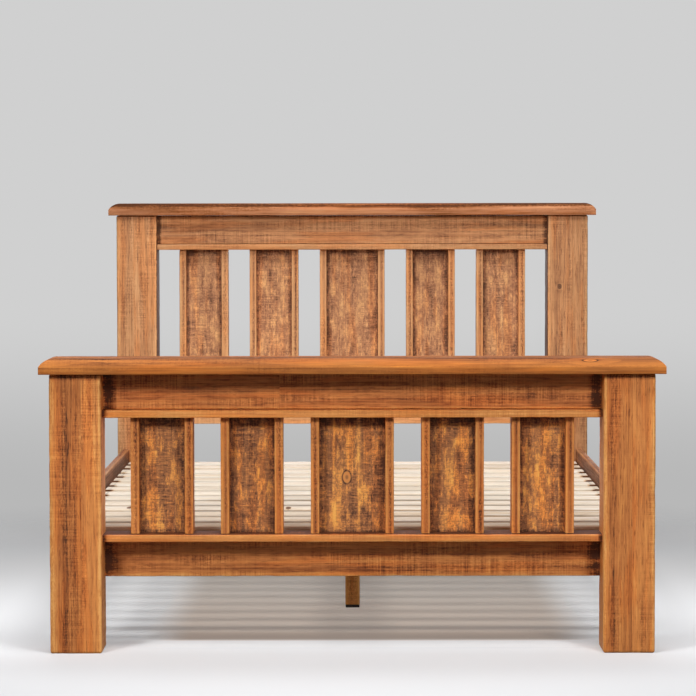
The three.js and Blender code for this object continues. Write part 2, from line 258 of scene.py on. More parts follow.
# Paler too: painted light, for the hazy sheen on the headboard.
HEAD_BOARD = {
    **BOARD,
    "run": ((252, 200, 136), (232, 174, 116), (202, 144, 102), (168, 116, 84), (112, 78, 60)),
    "middle": 0.60, "rubbed": 0.42, "mottle": 0.7, "saw": 1.0,
}
SLAT = {
    **STAINED,
    "slot": "slat_pine",
    "run": ((243, 238, 228), (239, 230, 216), (235, 220, 200), (218, 186, 148), (108, 66, 34)),
    "ruddy": (1.0, 0.96, 0.9, 1.0), "middle": 0.30, "streak": 0.7, "fine": 0.35, "mottle": 0.1,
    "saw": 0.1, "patch": 0.0, "rings": 0.22, "wear": 0.1, "knot_heart": 1.0, "ring_pitch": 9 * MM,
    "roughness": (0.55, 0.7), "relief": 0.12 * MM,
}
PLANED = {
    "middle": 0.42, "streak": 0.9, "fine": 0.95, "cloud": 0.35, "fibres": 0.26, "mottle": 0.7,
    "saw": 0.95, "patch": 0.04,
}
SAWN = {"cloud": 0.6, "fibres": 0.18, "patch": 0.0}
SIDE_RUN = ((214, 160, 108), (190, 134, 88), (164, 110, 74), (128, 82, 56), (84, 54, 38))
# Paler too: painted light, for the hazy sheen on the head cap.
HEAD_CAP_RUN = ((224, 166, 112), (206, 146, 100), (186, 124, 86), (140, 84, 46), (84, 46, 24))
FINISHES = {
    "stained": STAINED, "head": HEAD, "cap": CAP, "board": BOARD, "head_board": HEAD_BOARD,
    "slat": SLAT,
    "post": {**STAINED, **PLANED},
    "head_post": {**HEAD, **PLANED, "knot_heart": 0.95},
    "rail": {**STAINED, **SAWN, "mottle": 0.7, "saw": 1.5},
    "head_rail": {**HEAD, **SAWN, "mottle": 0.6, "saw": 1.2},
    "side": {**STAINED, "run": SIDE_RUN},
    "strip": {**STAINED, "wear": 0.26, "mottle": 0.8},
    "head_cap": {**CAP, "run": HEAD_CAP_RUN, "wear": 0.14},
}

WAVE_UNIT = 20.0  # the wave texture's own phase per unit of length


class Wood:
    """Sawn softwood, made from what each board carries: its grain place (along, across, through),
    its edges' wear, its tone, its bands, the painted shade or light carried in these two, and its
    knots."""

    def __init__(self, g, finish):
        self.g = g
        self.finish = finish
        self.grain = g.attribute("grain", "Vector")
        self.edge, self.tone, self.band = map(g.attribute, ("edge", "tone", "band"))
        self.from_knot = g.length(g.attribute("knot", "Vector"))
        self.streak = self.noise(1.5, 52.0, detail=4.0, roughness=0.6)
        self.fine = self.noise(10.0, 300.0, detail=3.0, roughness=0.6)
        self.mottle = self.noise(130.0, 260.0, detail=2.5, roughness=0.65, distortion=0.4)
        self.saw = self.saw_marks()
        self.rough_place = self.rough_places()
        self.late_wood = self.growth_rings()
        self.rim = g.times(g.span(self.from_knot, 0.8, 0.98), g.span(self.from_knot, 1.25, 1.0))
        self.run = self.place_on_run()

    def noise(self, along, across, shift=(0.0, 0.0, 0.0), **settings):
        """Noise with so many cells to the metre along the grain and across it. The shift keeps
        two noises from lining up."""
        return self.g.noise(self.g.scaled(self.grain, (along, across, across), shift), **settings)

    def growth_rings(self):
        """Late wood in rings round the pith, a little outside the board, and round the knots."""
        g = self.g
        pull = g.math("POWER", math.e, g.times(g.math("POWER", self.from_knot, 2.0), -0.22))
        phase = g.added(self.noise(1.6, 9.0, detail=3.0), 9.0, g.times(pull, 7.0))
        rings = g.node(
            "TexWave",
            {
                "Vector": g.scaled(self.grain, (0.55, 1.0, 1.0)),
                "Scale": FULL_TURN / (WAVE_UNIT * self.finish["ring_pitch"]),
                "Distortion": 5.0, "Detail": 2.5, "Detail Scale": 0.06, "Detail Roughness": 0.55,
                "Phase Offset": phase,
            },
            wave_type="RINGS", rings_direction="X", wave_profile="SAW",
        )
        return g.span(rings.outputs["Fac"], 0.45, 0.98)

    def saw_marks(self):
        """The marks of the blade, straight across the grain."""
        fine = self.noise(290.0, 7.0, detail=2.0, roughness=0.6)
        bold = self.noise(85.0, 4.0, (7.0, 0.0, 0.0), detail=2.0)
        return self.g.added(bold, 0.4, self.g.times(fine, 0.6))

    def rough_places(self):
        """Where the board was left rough from the saw, which is more often in dark bands and
        painted shade.
        """
        place = self.noise(3.2, 22.0, (0.0, 5.0, 0.0), detail=3.0)
        return self.g.span(self.g.added(self.band, 0.16, place), 0.44, 0.58)

    def rubbed(self, run):
        """Patches rubbed through the stain, broken by short dashes across the grain."""
        g = self.g
        flecks = self.noise(48.0, 120.0, (0.0, 2.0, 0.0), detail=4.0, roughness=0.7)
        dashes = self.noise(210.0, 38.0, (0.0, 0.0, 6.0), detail=3.0, roughness=0.65)
        place = self.noise(14.0, 34.0, (1.3, 0.0, 0.0), detail=3.0, roughness=0.6)
        place = g.moved(flecks, 0.75, place)
        place = g.moved(self.streak, 0.55, place)
        place = g.moved(dashes, 0.95, place)
        run = g.added(g.span(place, 0.43, 0.62), -self.finish["rubbed"], run)
        return g.moved(dashes, 1.6, run)

    def rough_marks(self):
        """Short flecks and saw marks, strongest in the rough places."""
        g = self.g
        marks = g.times(g.math("SUBTRACT", self.mottle, 0.5), self.finish["mottle"])
        marks = g.moved(self.saw, self.finish["saw"], marks)
        marks = g.math("ADD", marks, self.finish["patch"])
        return g.times(marks, g.added(self.rough_place, 0.85, 0.15))

    def knots(self, run):
        """A dark rim and a dark eye. The heart between them has a colour of its own."""
        g = self.g
        heart = g.span(self.from_knot, 1.0, 0.8)
        run = g.added(heart, g.math("SUBTRACT", self.finish["knot_heart"], run), run)
        run = g.added(self.rim, 0.5, run)
        return g.added(g.span(self.from_knot, 0.5, 0.1), 0.3, run)

    def place_on_run(self):
        """The place along the finish's run of colours."""
        g, finish = self.g, self.finish
        run = g.moved(self.streak, finish["streak"], finish["middle"])
        run = g.moved(self.fine, finish["fine"], run)
        cloud = self.noise(
            14.0, 44.0, (1.3, 0.0, 0.0), detail=3.0, roughness=0.6, distortion=0.5
        )
        run = g.moved(cloud, finish["cloud"], run)
        fibres = self.noise(26.0, 240.0, (0.0, 8.0, 0.0), detail=3.0, roughness=0.65)
        run = g.added(g.span(fibres, 0.54, 0.68), finish["fibres"], run)
        if finish["rubbed"]:
            run = self.rubbed(run)
        run = g.math("ADD", run, self.rough_marks())
        run = g.added(self.late_wood, finish["rings"], run)
        run = g.added(self.tone, 0.09, run)
        ragged = g.added(self.mottle, 0.5, g.times(self.streak, 0.5))
        ragged = g.span(ragged, 0.36, 0.62, 0.45, 1.15)
        run = g.added(g.times(self.edge, ragged), -finish["wear"], run)
        # Dark or rubbed bands, and painted shade, move the colour along the run.
        run = g.added(g.times(self.band, ragged), 0.5, run)
        return self.knots(run)

    def colour(self):
        g = self.g
        ramp = g.node("ValToRGB", {0: self.run})
        stops = ramp.color_ramp.elements
        colours = self.finish["run"]
        while len(stops) < len(colours):
            stops.new(0.5)
        for i, colour in enumerate(colours):
            stops[i].position = i / (len(colours) - 1)
            stops[i].color = srgb(*colour)
        blotch = self.noise(3.0, 7.0, (3.1, 0.0, 0.0), detail=3.0)
        shade = g.added(self.tone, -0.08, g.span(blotch, 0.25, 0.75, 0.93, 1.07))
        ruddy = self.noise(3.4, 34.0, (0.0, 0.0, 4.0), detail=3.0)
        warmer = g.tinted(g.span(ruddy, 0.46, 0.62), ramp.outputs[0], self.finish["ruddy"])
        return g.node("VectorMath", {0: warmer, 3: shade}, operation="SCALE").outputs[0]

    def roughness(self):
        g = self.g
        low, high = self.finish["roughness"]
        return g.span(g.added(self.fine, 0.4, g.times(self.run, 0.6)), 0.2, 0.8, low, high)

    def normal(self):
        """Saw marks, flecks and fibres are cut in; late wood stands a little proud."""
        g, finish = self.g, self.finish
        pores = self.noise(40.0, 1500.0, detail=1.0)
        relief = g.times(g.times(self.saw, self.rough_place), -0.9 * finish["saw"])
        relief = g.added(g.times(self.mottle, self.rough_place), -0.4 * finish["mottle"], relief)
        amounts = ((self.fine, -0.5), (self.late_wood, 0.25), (pores, 0.2), (self.rim, -0.6))
        for height, amount in amounts:
            relief = g.added(height, amount, relief)
        return g.bump(relief, finish["relief"])


def wood_material(name, finish):
    material, g = new_material(name)
    wood = Wood(g, finish)
    g.surface(
        wood.colour(), wood.roughness(), wood.normal(),
        IOR=1.45, Specular_IOR_Level=finish["sheen"],
    )
    return material


# ---- other materials


def clouded_material(name, scales, clouds_from, colours, roughness, relief, **constants):
    """Soft clouds of a second colour and roughness over the first, and fine grit."""
    material, g = new_material(name)
    place = g.object_place()
    cloud = g.noise(place, scale=scales[0], detail=4.0)
    grit = g.noise(place, scale=scales[1], detail=2.0)
    colour = g.mix(g.span(cloud, clouds_from, 0.7), *(srgb(*c) for c in colours))
    g.surface(colour, g.span(cloud, 0.3, 0.7, *roughness), g.bump(grit, relief), **constants)
    return material


MATERIALS = {name: wood_material(f"{name}_wood", finish) for name, finish in FINISHES.items()}
STEEL = clouded_material(  # oxide-coated, with rubbed bright spots
    "dark_steel", (60.0, 900.0), 0.35, ((58, 58, 60), (96, 94, 90)), (0.32, 0.55), 0.06 * MM,
    Metallic=0.85,
)
PAD = clouded_material(  # matt rubber with fine dust
    "leg_pad", (140.0, 1400.0), 0.4, ((44, 38, 34), (78, 68, 58)), (0.75, 0.92), 0.1 * MM
)

# ---- sections and rows

WEAR_REACH = 4 * MM  # how far edge wear runs into a face
NOOK_PLATEAU = 0.35  # the part of a nook's reach that is darkest throughout
ON_FACE = 1.5 * MM  # a point this close under a face still belongs to it
GROOVE_WIDTH = 1.4 * MM
GROOVE_DEPTH = 0.9 * MM
CLOSE_ROWS = (4 * MM, 11 * MM)  # rows near both ends, for the wear there
ARC_STEPS = 3

# A section's four sides in turn: the corner that each starts from, the way it faces and whether
# it is walked backwards
CORNERS = ((1, -1), (1, 1), (-1, 1), (-1, -1))
OUTWARD = ((1, 0), (0, 1), (-1, 0), (0, -1))
BACKWARDS = (False, True, True, False)


def smooth_mesh(name, vertices, faces, sharp_from):
    """A mesh shaded smooth, but for edges that turn by more than sharp_from degrees."""
    mesh = bpy.data.meshes.new(name)
    mesh.from_pydata(vertices, [], faces)
    mesh.polygons.foreach_set("use_smooth", [True] * len(faces))
    mesh.update()
    mesh.set_sharp_from_angle(angle=math.radians(sharp_from))
    return mesh


def seed_of(name):
    return zlib.crc32(name.encode())


def unit(vectors):
    return vectors / np.linalg.norm(vectors, axis=1)[:, None]


class Ripple:
    """A smooth random field: plane waves in random directions, about a wavelength long."""

    WAVES = 9

    def __init__(self, seed, wavelength):
        rng = np.random.default_rng(seed)
        directions = unit(rng.normal(size=(self.WAVES, 3)))
        stretch = rng.uniform(0.6, 1.8, (self.WAVES, 1))
        self.waves = directions * stretch * FULL_TURN / wavelength
        self.phase = rng.uniform(0, FULL_TURN, self.WAVES)

    def __call__(self, points):
        return np.sin(points @ self.waves.T + self.phase).sum(1) / math.sqrt(self.WAVES)


def flat_places(low, high, pitch, extra=()):
    """Places from low to high: the ends, rows close to them, even steps and the extra ones."""
    length = high - low
    places = [low, high]
    for reach in CLOSE_ROWS:
        if length > 4 * reach:
            places += [low + reach, high - reach]
    steps = max(1, round(length / pitch))
    inner = [low + length * i / steps for i in range(1, steps)]
    places += [p for p in inner if min(abs(p - q) for q in places) > 0.35 * pitch]
    for place in extra:
        places = [p for p in places if abs(p - place) > 0.8 * MM or p in (low, high)]
        places.append(place)
    return sorted(places)


def groove_places(seams):
    """Places that shape a fine V groove at each seam."""
    return [seam + GROOVE_WIDTH * k / 2 for seam in seams for k in range(-2, 3)]


def section(width, depth, radius, pitch, seams, columns):
    """Points, normals and edge wear round a rounded rectangle, counter-clockwise."""
    points, normals, wear = [], [], []
    extents = (width / 2, depth / 2)
    for i, (sx, sy) in enumerate(CORNERS):
        along_depth = i % 2 == 0
        half = extents[1 if along_depth else 0] - radius
        extra = () if along_depth else [c for c in columns if abs(c) < half] + groove_places(seams)
        places = flat_places(-half, half, pitch, extra)
        if BACKWARDS[i]:
            places = places[::-1]
        for place in places:
            points.append((sx * extents[0], place) if along_depth else (place, sy * extents[1]))
            normals.append(OUTWARD[i])
            wear.append(math.exp(-(half - abs(place)) / WEAR_REACH))
        centre = np.array(CORNERS[(i + 1) % 4]) * (extents[0] - radius, extents[1] - radius)
        for k in range(1, ARC_STEPS):
            angle = math.pi / 2 * (i + k / ARC_STEPS)
            facing = (math.cos(angle), math.sin(angle))
            points.append(tuple(centre + np.array(facing) * radius))
            normals.append(facing)
            wear.append(1.0)
    return np.array(points), np.array(normals), np.array(wear)


def stations(half, pitch, rounding, joins, rows):
    """Places along a board, each with how far its section is drawn in to round the board's ends."""
    flat = half - rounding
    extra = [r for r in rows if abs(r) < flat] + groove_places(joins)
    places = [(p, 0.0) for p in flat_places(-flat, flat, pitch, extra)]
    if not rounding:
        return places
    for k in range(ARC_STEPS, 0, -1):
        angle = math.pi / 2 * k / ARC_STEPS
        back, inset = rounding * math.sin(angle), rounding * (1 - math.cos(angle))
        places += [(flat + back, inset), (-flat - back, inset)]
    return sorted(places)


# ---- boards

AXES = {"x": (0, 1, 2), "y": (1, 0, 2), "z": (2, 0, 1)}
JOINED_STAVE = 10  # added to a stave's number beyond an end-to-end joint
STAVE_SHIFTS = (9.0, 0.035, 0.035)  # how far apart the staves' grain may lie
PITH_ACROSS = 0.02  # the pith stays at least this far outside the board
PITH_THROUGH = 0.03
CHIP_WAVES = (45 * MM, 14 * MM)
FACE_WAVE = 160 * MM
FACE_DEPTH = 0.16 * MM


class Board:
    """A sawn board, swept along an axis. Places are (along, across, through) from its middle."""

    radius = 3 * MM
    rounding = None  # of the ends, and the radius unless it is given
    pitch = 14 * MM
    along_pitch = 22 * MM
    chip = 0.9 * MM
    seams = ()  # places across, between staves glued side by side
    joins = ()  # places along, between lengths glued end to end
    tenon = None  # reach, thickness and shoulder
    tone = None  # each stave's, higher for darker; on some pieces it also carries painted shade or light
    knots = ()  # place along, place across and both radii
    bands = ()  # place across, reach and amount, which is negative where stain is rubbed off
    nooks = ()  # axis, place, signed reach and amount of a nook's darkening: painted shade, and at rail and strip ends by the posts also stain kept there
    dark_top = None  # reach back and amount of painted shade on the top face
    stained_ends = None  # reach and amount of painted shade on the side faces near the ends
    inner_face = None  # which side across, and the amount of painted shade on it, painted light if negative

    def __init__(self, name, low, high, along, finish, **options):
        self.name, self.finish = name, finish
        self.low, self.high = Vector(low), Vector(high)
        self.axes = AXES[along]
        self.length, self.width, self.depth = (self.high[a] - self.low[a] for a in self.axes)
        for key, value in options.items():
            setattr(self, key, value)
        if self.rounding is None:
            self.rounding = self.radius
        self.rng = np.random.default_rng(seed_of(name))

    def nook_rows(self, axis):
        stops = (0.0, NOOK_PLATEAU, 1.0)
        return [place + reach * k for a, place, reach, _ in self.nooks if a == axis for k in stops]

    def rings(self):
        """Rows of points, their outward directions and their wear, from one end to the other."""
        half = self.length / 2
        columns = [c for a, reach, _ in self.bands for c in (a - reach, a, a + reach)]
        columns += self.nook_rows(1)
        cuts = self.nook_rows(0)
        if self.stained_ends:
            cuts += [sign * (half - self.stained_ends[0]) for sign in (-1, 1)]
        across = (self.width, self.depth, self.radius, self.pitch)
        points, normals, wear = section(*across, self.seams, columns)
        rows = []
        for place, inset in stations(half, self.along_pitch, self.rounding, self.joins, cuts):
            end_wear = math.exp(-max(0.0, half - abs(place)) / WEAR_REACH)
            rows.append((place, points - normals * inset, normals, np.maximum(wear, end_wear)))
        return self.with_tenons(rows, points) if self.tenon else rows

    def with_tenons(self, rows, points):
        """The rows with a square shoulder and a stepped-in tenon beyond each end."""
        reach, thickness, shoulder = self.tenon
        small = points * ((self.width - 2 * shoulder) / self.width, thickness / self.depth)
        still = np.zeros_like(points)
        none = np.zeros(len(points))
        low, high = (
            [(sign * (self.length / 2 + d), small, still, none) for d in (0.0, reach / 2, reach)]
            for sign in (-1, 1)
        )
        return low[::-1] + rows + high

    def build(self):
        rows = self.rings()
        count = len(rows[0][1])
        last = (len(rows) - 1) * count
        local = np.array([[(s, a, b) for a, b in pts] for s, pts, _, _ in rows]).reshape(-1, 3)
        outward = np.array([[(0.0, a, b) for a, b in n] for _, _, n, _ in rows]).reshape(-1, 3)
        wear = np.concatenate([w for _, _, _, w in rows])
        local = local + outward * self.sink(local, outward, wear)[:, None]
        sides = [(i, (i + 1) % count) for i in range(count)]
        faces = [
            (start + i, start + k, start + count + k, start + count + i)
            for start in range(0, last, count) for i, k in sides
        ]
        hub = len(local)
        for i, k in sides:
            faces += [(hub, k, i), (hub + 1, last + i, last + k)]
        if self.axes == AXES["y"]:
            faces = [face[::-1] for face in faces]
        local = np.vstack([local, local[:count].mean(0), local[last:].mean(0)])
        return self.to_object(local, faces, np.append(wear, (0.0, 0.0)))

    def sink(self, local, outward, wear):
        """How far each point is drawn in (negative), by chips, an uneven face and grooves."""
        seed = seed_of(self.name)
        large, small = (Ripple(seed + i, wave)(local) for i, wave in enumerate(CHIP_WAVES))
        chips = large + 0.6 * small
        uneven = Ripple(seed + 2, FACE_WAVE)(local)
        drawn = self.chip * wear * (0.25 + 0.75 * np.clip(chips, 0, 1.6) ** 1.5)
        drawn += FACE_DEPTH * (1 + np.clip(uneven, -1, 1))
        for axis, places in ((1, self.seams), (0, self.joins)):
            for place in places:
                near = np.clip(1 - np.abs(local[:, axis] - place) / GROOVE_WIDTH, 0, 1)
                facing = np.abs(outward[:, 2]) > 0.7 if axis == 1 else 1.0
                drawn += GROOVE_DEPTH * near * facing
        return -drawn * (np.abs(outward).sum(1) > 0)

    def staves(self, centres):
        """The number of the glued stave that each face belongs to."""
        number = np.zeros(len(centres), int)
        for axis, places, first in ((1, self.seams, 1), (0, self.joins, 1 + JOINED_STAVE)):
            for k, place in enumerate(places):
                number += (centres[:, axis] > place) * (first + k)
        return number

    def to_object(self, local, faces, wear):
        middle = (self.low + self.high) / 2
        world = np.zeros_like(local)
        for i, axis in enumerate(self.axes):
            world[:, axis] = local[:, i] + middle[axis]
        mesh = smooth_mesh(self.name, world.tolist(), faces, sharp_from=48)
        corners = np.zeros(len(mesh.loops), int)
        mesh.loops.foreach_get("vertex_index", corners)
        owner = np.repeat(np.arange(len(faces)), [len(face) for face in faces])
        stave = self.staves(np.array([local[list(face)].mean(0) for face in faces]))
        self.write_attributes(mesh, local, corners, stave[owner], wear)
        slot = FINISHES[self.finish]["slot"]
        return finish_piece(self.name, mesh, MATERIALS[self.finish], slot)

    def write_attributes(self, mesh, local, corners, stave, wear):
        staves = int(stave.max()) + 1
        offset = self.rng.uniform(-1, 1, (staves, 3)) * STAVE_SHIFTS
        offset[:, 1] += np.sign(offset[:, 1]) * PITH_ACROSS
        offset[:, 2] += np.sign(offset[:, 2]) * PITH_THROUGH
        tones = self.rng.uniform(-1, 1, staves)
        if self.tone is not None:
            tones = np.resize(np.array(self.tone, float), staves)
        grain = local[corners] + offset[stave]
        put_attribute(mesh, "grain", "CORNER", grain)
        put_attribute(mesh, "knot", "CORNER", self.knot_places(local[corners]))
        put_attribute(mesh, "tone", "CORNER", tones[stave])
        put_attribute(mesh, "edge", "POINT", wear)
        put_attribute(mesh, "band", "POINT", self.band_strength(local))

    def band_strength(self, local):
        """Rubbed (negative) or dark (positive) bands, painted shade, and the nooks' painted shade
        and stain.
        """
        strength = np.zeros(len(local))
        side = self.width / 2
        for a, reach, amount in self.bands:
            strength += amount * np.clip(1 - np.abs(local[:, 1] - a) / reach, 0, 1)
        # Painted shade on the top face, darkest towards the back.
        if self.dark_top:
            back, amount = self.dark_top
            on_top = local[:, 2] > self.depth / 2 - ON_FACE
            strength += amount * on_top * np.clip((local[:, 1] + side) / back, 0, 1) ** 2
        # Painted shade on the side faces near the ends, and a little painted warm shade along the
        # whole sides.
        if self.stained_ends:
            reach, amount = self.stained_ends
            on_side = np.abs(local[:, 1]) > side - WEAR_REACH
            inward = (self.length / 2 - np.abs(local[:, 0])) / reach
            strength += amount * on_side * np.clip(2.5 * (1 - inward), 0.08, 1)
        # Painted shade on the inner face, or painted light where the amount is negative.
        if self.inner_face:
            sign, amount = self.inner_face
            strength += amount * (sign * local[:, 1] > side - ON_FACE)
        # Nooks: painted shade, and at rail and strip ends by the posts also stain kept there.
        nook = np.zeros(len(local))
        for axis, place, reach, amount in self.nooks:
            inward = (local[:, axis] - place) / reach
            nook = np.maximum(nook, amount * np.clip((1 - inward) / (1 - NOOK_PLATEAU), 0, 1))
        return strength + nook

    def knot_places(self, places):
        """Each place measured from its nearest knot, in that knot's radii."""
        nearest = np.full((len(places), 3), 9.0)
        distance = np.linalg.norm(nearest, axis=1)
        for along, across, radius_along, radius_across in self.knots:
            relative = (places - (along, across, 0.0)) / (radius_along, radius_across, 1.0)
            relative[:, 2] = 0.0
            far = np.linalg.norm(relative, axis=1)
            closer = far < distance
            nearest[closer] = relative[closer]
            distance = np.where(closer, far, distance)
        return nearest


def put_attribute(mesh, name, domain, values):
    values = np.asarray(values, np.float32)
    kind, key = ("FLOAT", "value") if values.ndim == 1 else ("FLOAT_VECTOR", "vector")
    mesh.attributes.new(name, kind, domain).data.foreach_set(key, values.ravel())


def finish_piece(name, mesh, material, slot):
    mesh.materials.append(material)
    piece = add_object(name, mesh)
    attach(piece, "root")
    return piece


def part_of(node, ending, low, high, along, finish, kind=Board, **options):
    """A board that takes its CAD node's place, alone or with others."""
    piece = kind(f"{node}_{ending}", low, high, along, finish, **options).build()
    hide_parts(node)
    return piece


def plain(node, along, finish, **options):
    """A board that fills its CAD node."""
    part_of(node, "wood", *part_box(node), along, finish, **options)


# ---- caps


class Cap(Board):
    """A cap board, with one large rounded shoulder round all four of its upper edges."""

    ROUND_WIDTH = 38 * MM
    ROUND_HEIGHT = 22 * MM
    ARC_RADIUS = (ROUND_WIDTH**2 + ROUND_HEIGHT**2) / (2 * ROUND_HEIGHT)
    STEPS = 9
    UNDER_ARRIS = 0.6 * MM
    EDGE_ROW = 2 * MM  # how close a row runs to the lower arris
    CROWN_BLEND = 3 * MM

    pitch = 16 * MM
    along_pitch = 20 * MM
    chip = 0.7 * MM
    upright = 0.0  # painted shade on the upright faces, painted light where negative
    shoulder_tone = 0.0  # and on the shoulder above them
    crown = 0.0  # and on the crown
    crown_from = 0.0  # the height above the arris at which the crown begins

    def shoulder(self, distance):
        """The top's height above the arris this far in from the edge, on an arc that ends level."""
        inward = np.clip(self.ROUND_WIDTH - distance, 0, None)
        fall = self.ARC_RADIUS - np.sqrt(self.ARC_RADIUS**2 - inward**2)
        return self.ROUND_HEIGHT - fall

    def shoulder_steps(self):
        """Distances in from the edge, evenly round the shoulder's arc."""
        turn = 2 * math.atan(self.ROUND_HEIGHT / self.ROUND_WIDTH)
        angles = [turn * k / self.STEPS for k in range(self.STEPS, -1, -1)]
        return [max(0.0, self.ROUND_WIDTH - self.ARC_RADIUS * math.sin(a)) for a in angles]

    def outline(self, half, base, line, top):
        """Points round the section, from the underside over one shoulder to the other."""
        arc = self.shoulder_steps()
        flat = flat_places(-half + self.ROUND_WIDTH, half - self.ROUND_WIDTH, self.pitch)
        under = flat_places(-half + self.EDGE_ROW, half - self.EDGE_ROW, self.pitch)
        right = [(half - self.UNDER_ARRIS, base + self.UNDER_ARRIS)]
        heights = (base + self.EDGE_ROW, base + 0.5 * (line - base), line - 3 * MM, line)
        right += [(half, z) for z in heights]
        right += [(half - d, line + float(self.shoulder(d))) for d in arc[1:-1]]
        left = [(-a, z) for a, z in right[::-1]]
        bottom = [(a, base) for a in under]
        return np.array(bottom + right + [(a, top) for a in flat[::-1]] + left)

    def rings(self):
        half, top = self.length / 2, self.depth / 2
        base, line = -top, top - self.ROUND_HEIGHT
        points = self.outline(self.width / 2, base, line, top)
        normals = self.normals(points)
        ends = sorted([*self.shoulder_steps()[:-1], 2.2 * MM])
        flat = half - self.ROUND_WIDTH
        inner = flat_places(-flat, flat, self.along_pitch)
        places = [-half + d for d in ends] + inner + [half - d for d in ends[::-1]]
        rows = []
        for place in places:
            row = points.copy()
            over = line + float(self.shoulder(half - abs(place)))
            row[:, 1] = np.minimum(row[:, 1], over)
            above = row[:, 1] - line
            wear = 0.95 * np.exp(-np.abs(above) / (6 * MM)) * (above > -1.5 * MM)
            height = row[:, 1] - base
            low_arris = 0.5 * np.exp(-height / (3 * MM)) * (height > 0.1 * MM)
            rows.append((place, row, normals, np.maximum(wear, low_arris)))
        return rows

    def band_strength(self, local):
        """Painted shade, or painted light where negative, on the upright faces, on the shoulder and
        on the crown above it.
        """
        height = local[:, 2] - (self.depth / 2 - self.ROUND_HEIGHT)
        low = height < -2 * MM
        upright = np.abs(local[:, 1]) > self.width / 2 - 1.0 * MM
        crown = np.clip((height - self.crown_from) / self.CROWN_BLEND, 0, 1)
        above = self.crown * crown + self.shoulder_tone * (1 - crown)
        return self.upright * upright * low + above * ~low

    @staticmethod
    def normals(points):
        after = unit(np.roll(points, -1, axis=0) - points)
        tangent = after + np.roll(after, 1, axis=0)
        return unit(np.stack([tangent[:, 1], -tangent[:, 0]], 1))


# ---- posts and rails

LEFT_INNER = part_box("foot_post_left")[1].x
RIGHT_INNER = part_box("foot_post_right")[0].x
CAP_REACH = 20 * MM
CAP_SHADE = {"foot": 0.7, "head": 0.3}  # painted shadow on the posts right under the cap, CAP_REACH deep
RAIL_NOOK = 38 * MM  # how far the painted shade and kept stain reach from the posts
HEAD_RAIL_NOOK = 15 * MM
STRIP_NOOK = 12 * MM
# how dark the nooks are: painted shade, with stain kept by the posts
NOOK_STAIN = 1.35


# Each post gets a painted shadow right under its cap, and painted shade on its inner face, painted
# light where that amount is negative.
def post(end, hand, finish, seam, inner, **options):
    node = f"{end}_post_{hand}"
    low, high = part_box(node)
    plain(
        node, "z", finish, radius=6 * MM, pitch=16 * MM, along_pitch=14 * MM, chip=1.3 * MM,
        seams=(seam,), nooks=((0, (high.z - low.z) / 2, -CAP_REACH, CAP_SHADE[end]),),
        inner_face=(1 if hand == "left" else -1, inner), **options,
    )


def end_nooks(node, reach):
    """Dark nooks at both ends of a board that runs from post to post: painted shade, with stain
    kept by the posts.
    """
    low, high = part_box(node)
    half = min((high - low).x / 2, RIGHT_INNER)
    return ((0, -half, reach, NOOK_STAIN), (0, half, -reach, NOOK_STAIN))


def rail(node, finish, **options):
    """A board between the posts, with a tenon into each."""
    low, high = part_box(node)
    tenon = (high.x - RIGHT_INNER, 20 * MM, 12 * MM)
    low, high = (LEFT_INNER, low.y, low.z), (RIGHT_INNER, high.y, high.z)
    options.setdefault("nooks", end_nooks(node, RAIL_NOOK))
    part_of(node, "wood", low, high, "x", finish, tenon=tenon, rounding=0.0, **options)


def head_rail_nooks():
    """Painted shade and stain at the ends, and a painted shadow line where the rail meets the cap.
    """
    low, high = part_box("head_top_rail")
    under_cap = (2, (high.z - low.z) / 2, -7 * MM, 1.2)
    return (*end_nooks("head_top_rail", HEAD_RAIL_NOOK), under_cap)


# ---- panels

BATTEN_WIDTH = 24 * MM
BATTEN = {
    "radius": 3.5 * MM, "rounding": 0.8 * MM, "pitch": 12 * MM, "along_pitch": 16 * MM,
    "chip": 1.0 * MM, "tone": (0.1,), "bands": ((0.002, 0.007, 0.5),),
}
BATTEN_FINISH = {"board": "stained", "head_board": "head"}
BOARD_FRONT = 34 * MM  # the board's face behind its battens' fronts
BOARD_THICKNESS = 20 * MM
BOARD_LAP = 2 * MM  # how far the board reaches into each batten


def panel_nooks(half_length, half_width):
    """Painted shade, partly standing for stain kept there, beside the battens, under the strip and
    on the ledge.
    """
    return (
        (1, -half_width, 16 * MM, 0.55),
        (1, half_width, -16 * MM, 0.55),
        (0, half_length, -26 * MM, 0.7),
        (0, -half_length, 10 * MM, 0.5),
    )


def panel(node, finish, **options):
    """A rough board let into two battens."""
    low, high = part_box(node)
    for hand, x0 in (("left", low.x), ("right", high.x - BATTEN_WIDTH)):
        near, far = (x0, low.y, low.z), (x0 + BATTEN_WIDTH, high.y, high.z)
        part_of(node, f"batten_{hand}", near, far, "z", BATTEN_FINISH[finish], **BATTEN)
    inset = BATTEN_WIDTH - BOARD_LAP
    front = low.y + BOARD_FRONT
    low = Vector((low.x + inset, front, low.z))
    high = Vector((high.x - inset, front + BOARD_THICKNESS, high.z))
    part_of(
        node, "board", low, high, "z", finish, radius=1.5 * MM, rounding=0.6 * MM,
        pitch=12 * MM, along_pitch=14 * MM, chip=0.4 * MM,
        nooks=panel_nooks((high.z - low.z) / 2, (high.x - low.x) / 2), **options,
    )


# ---- fasteners

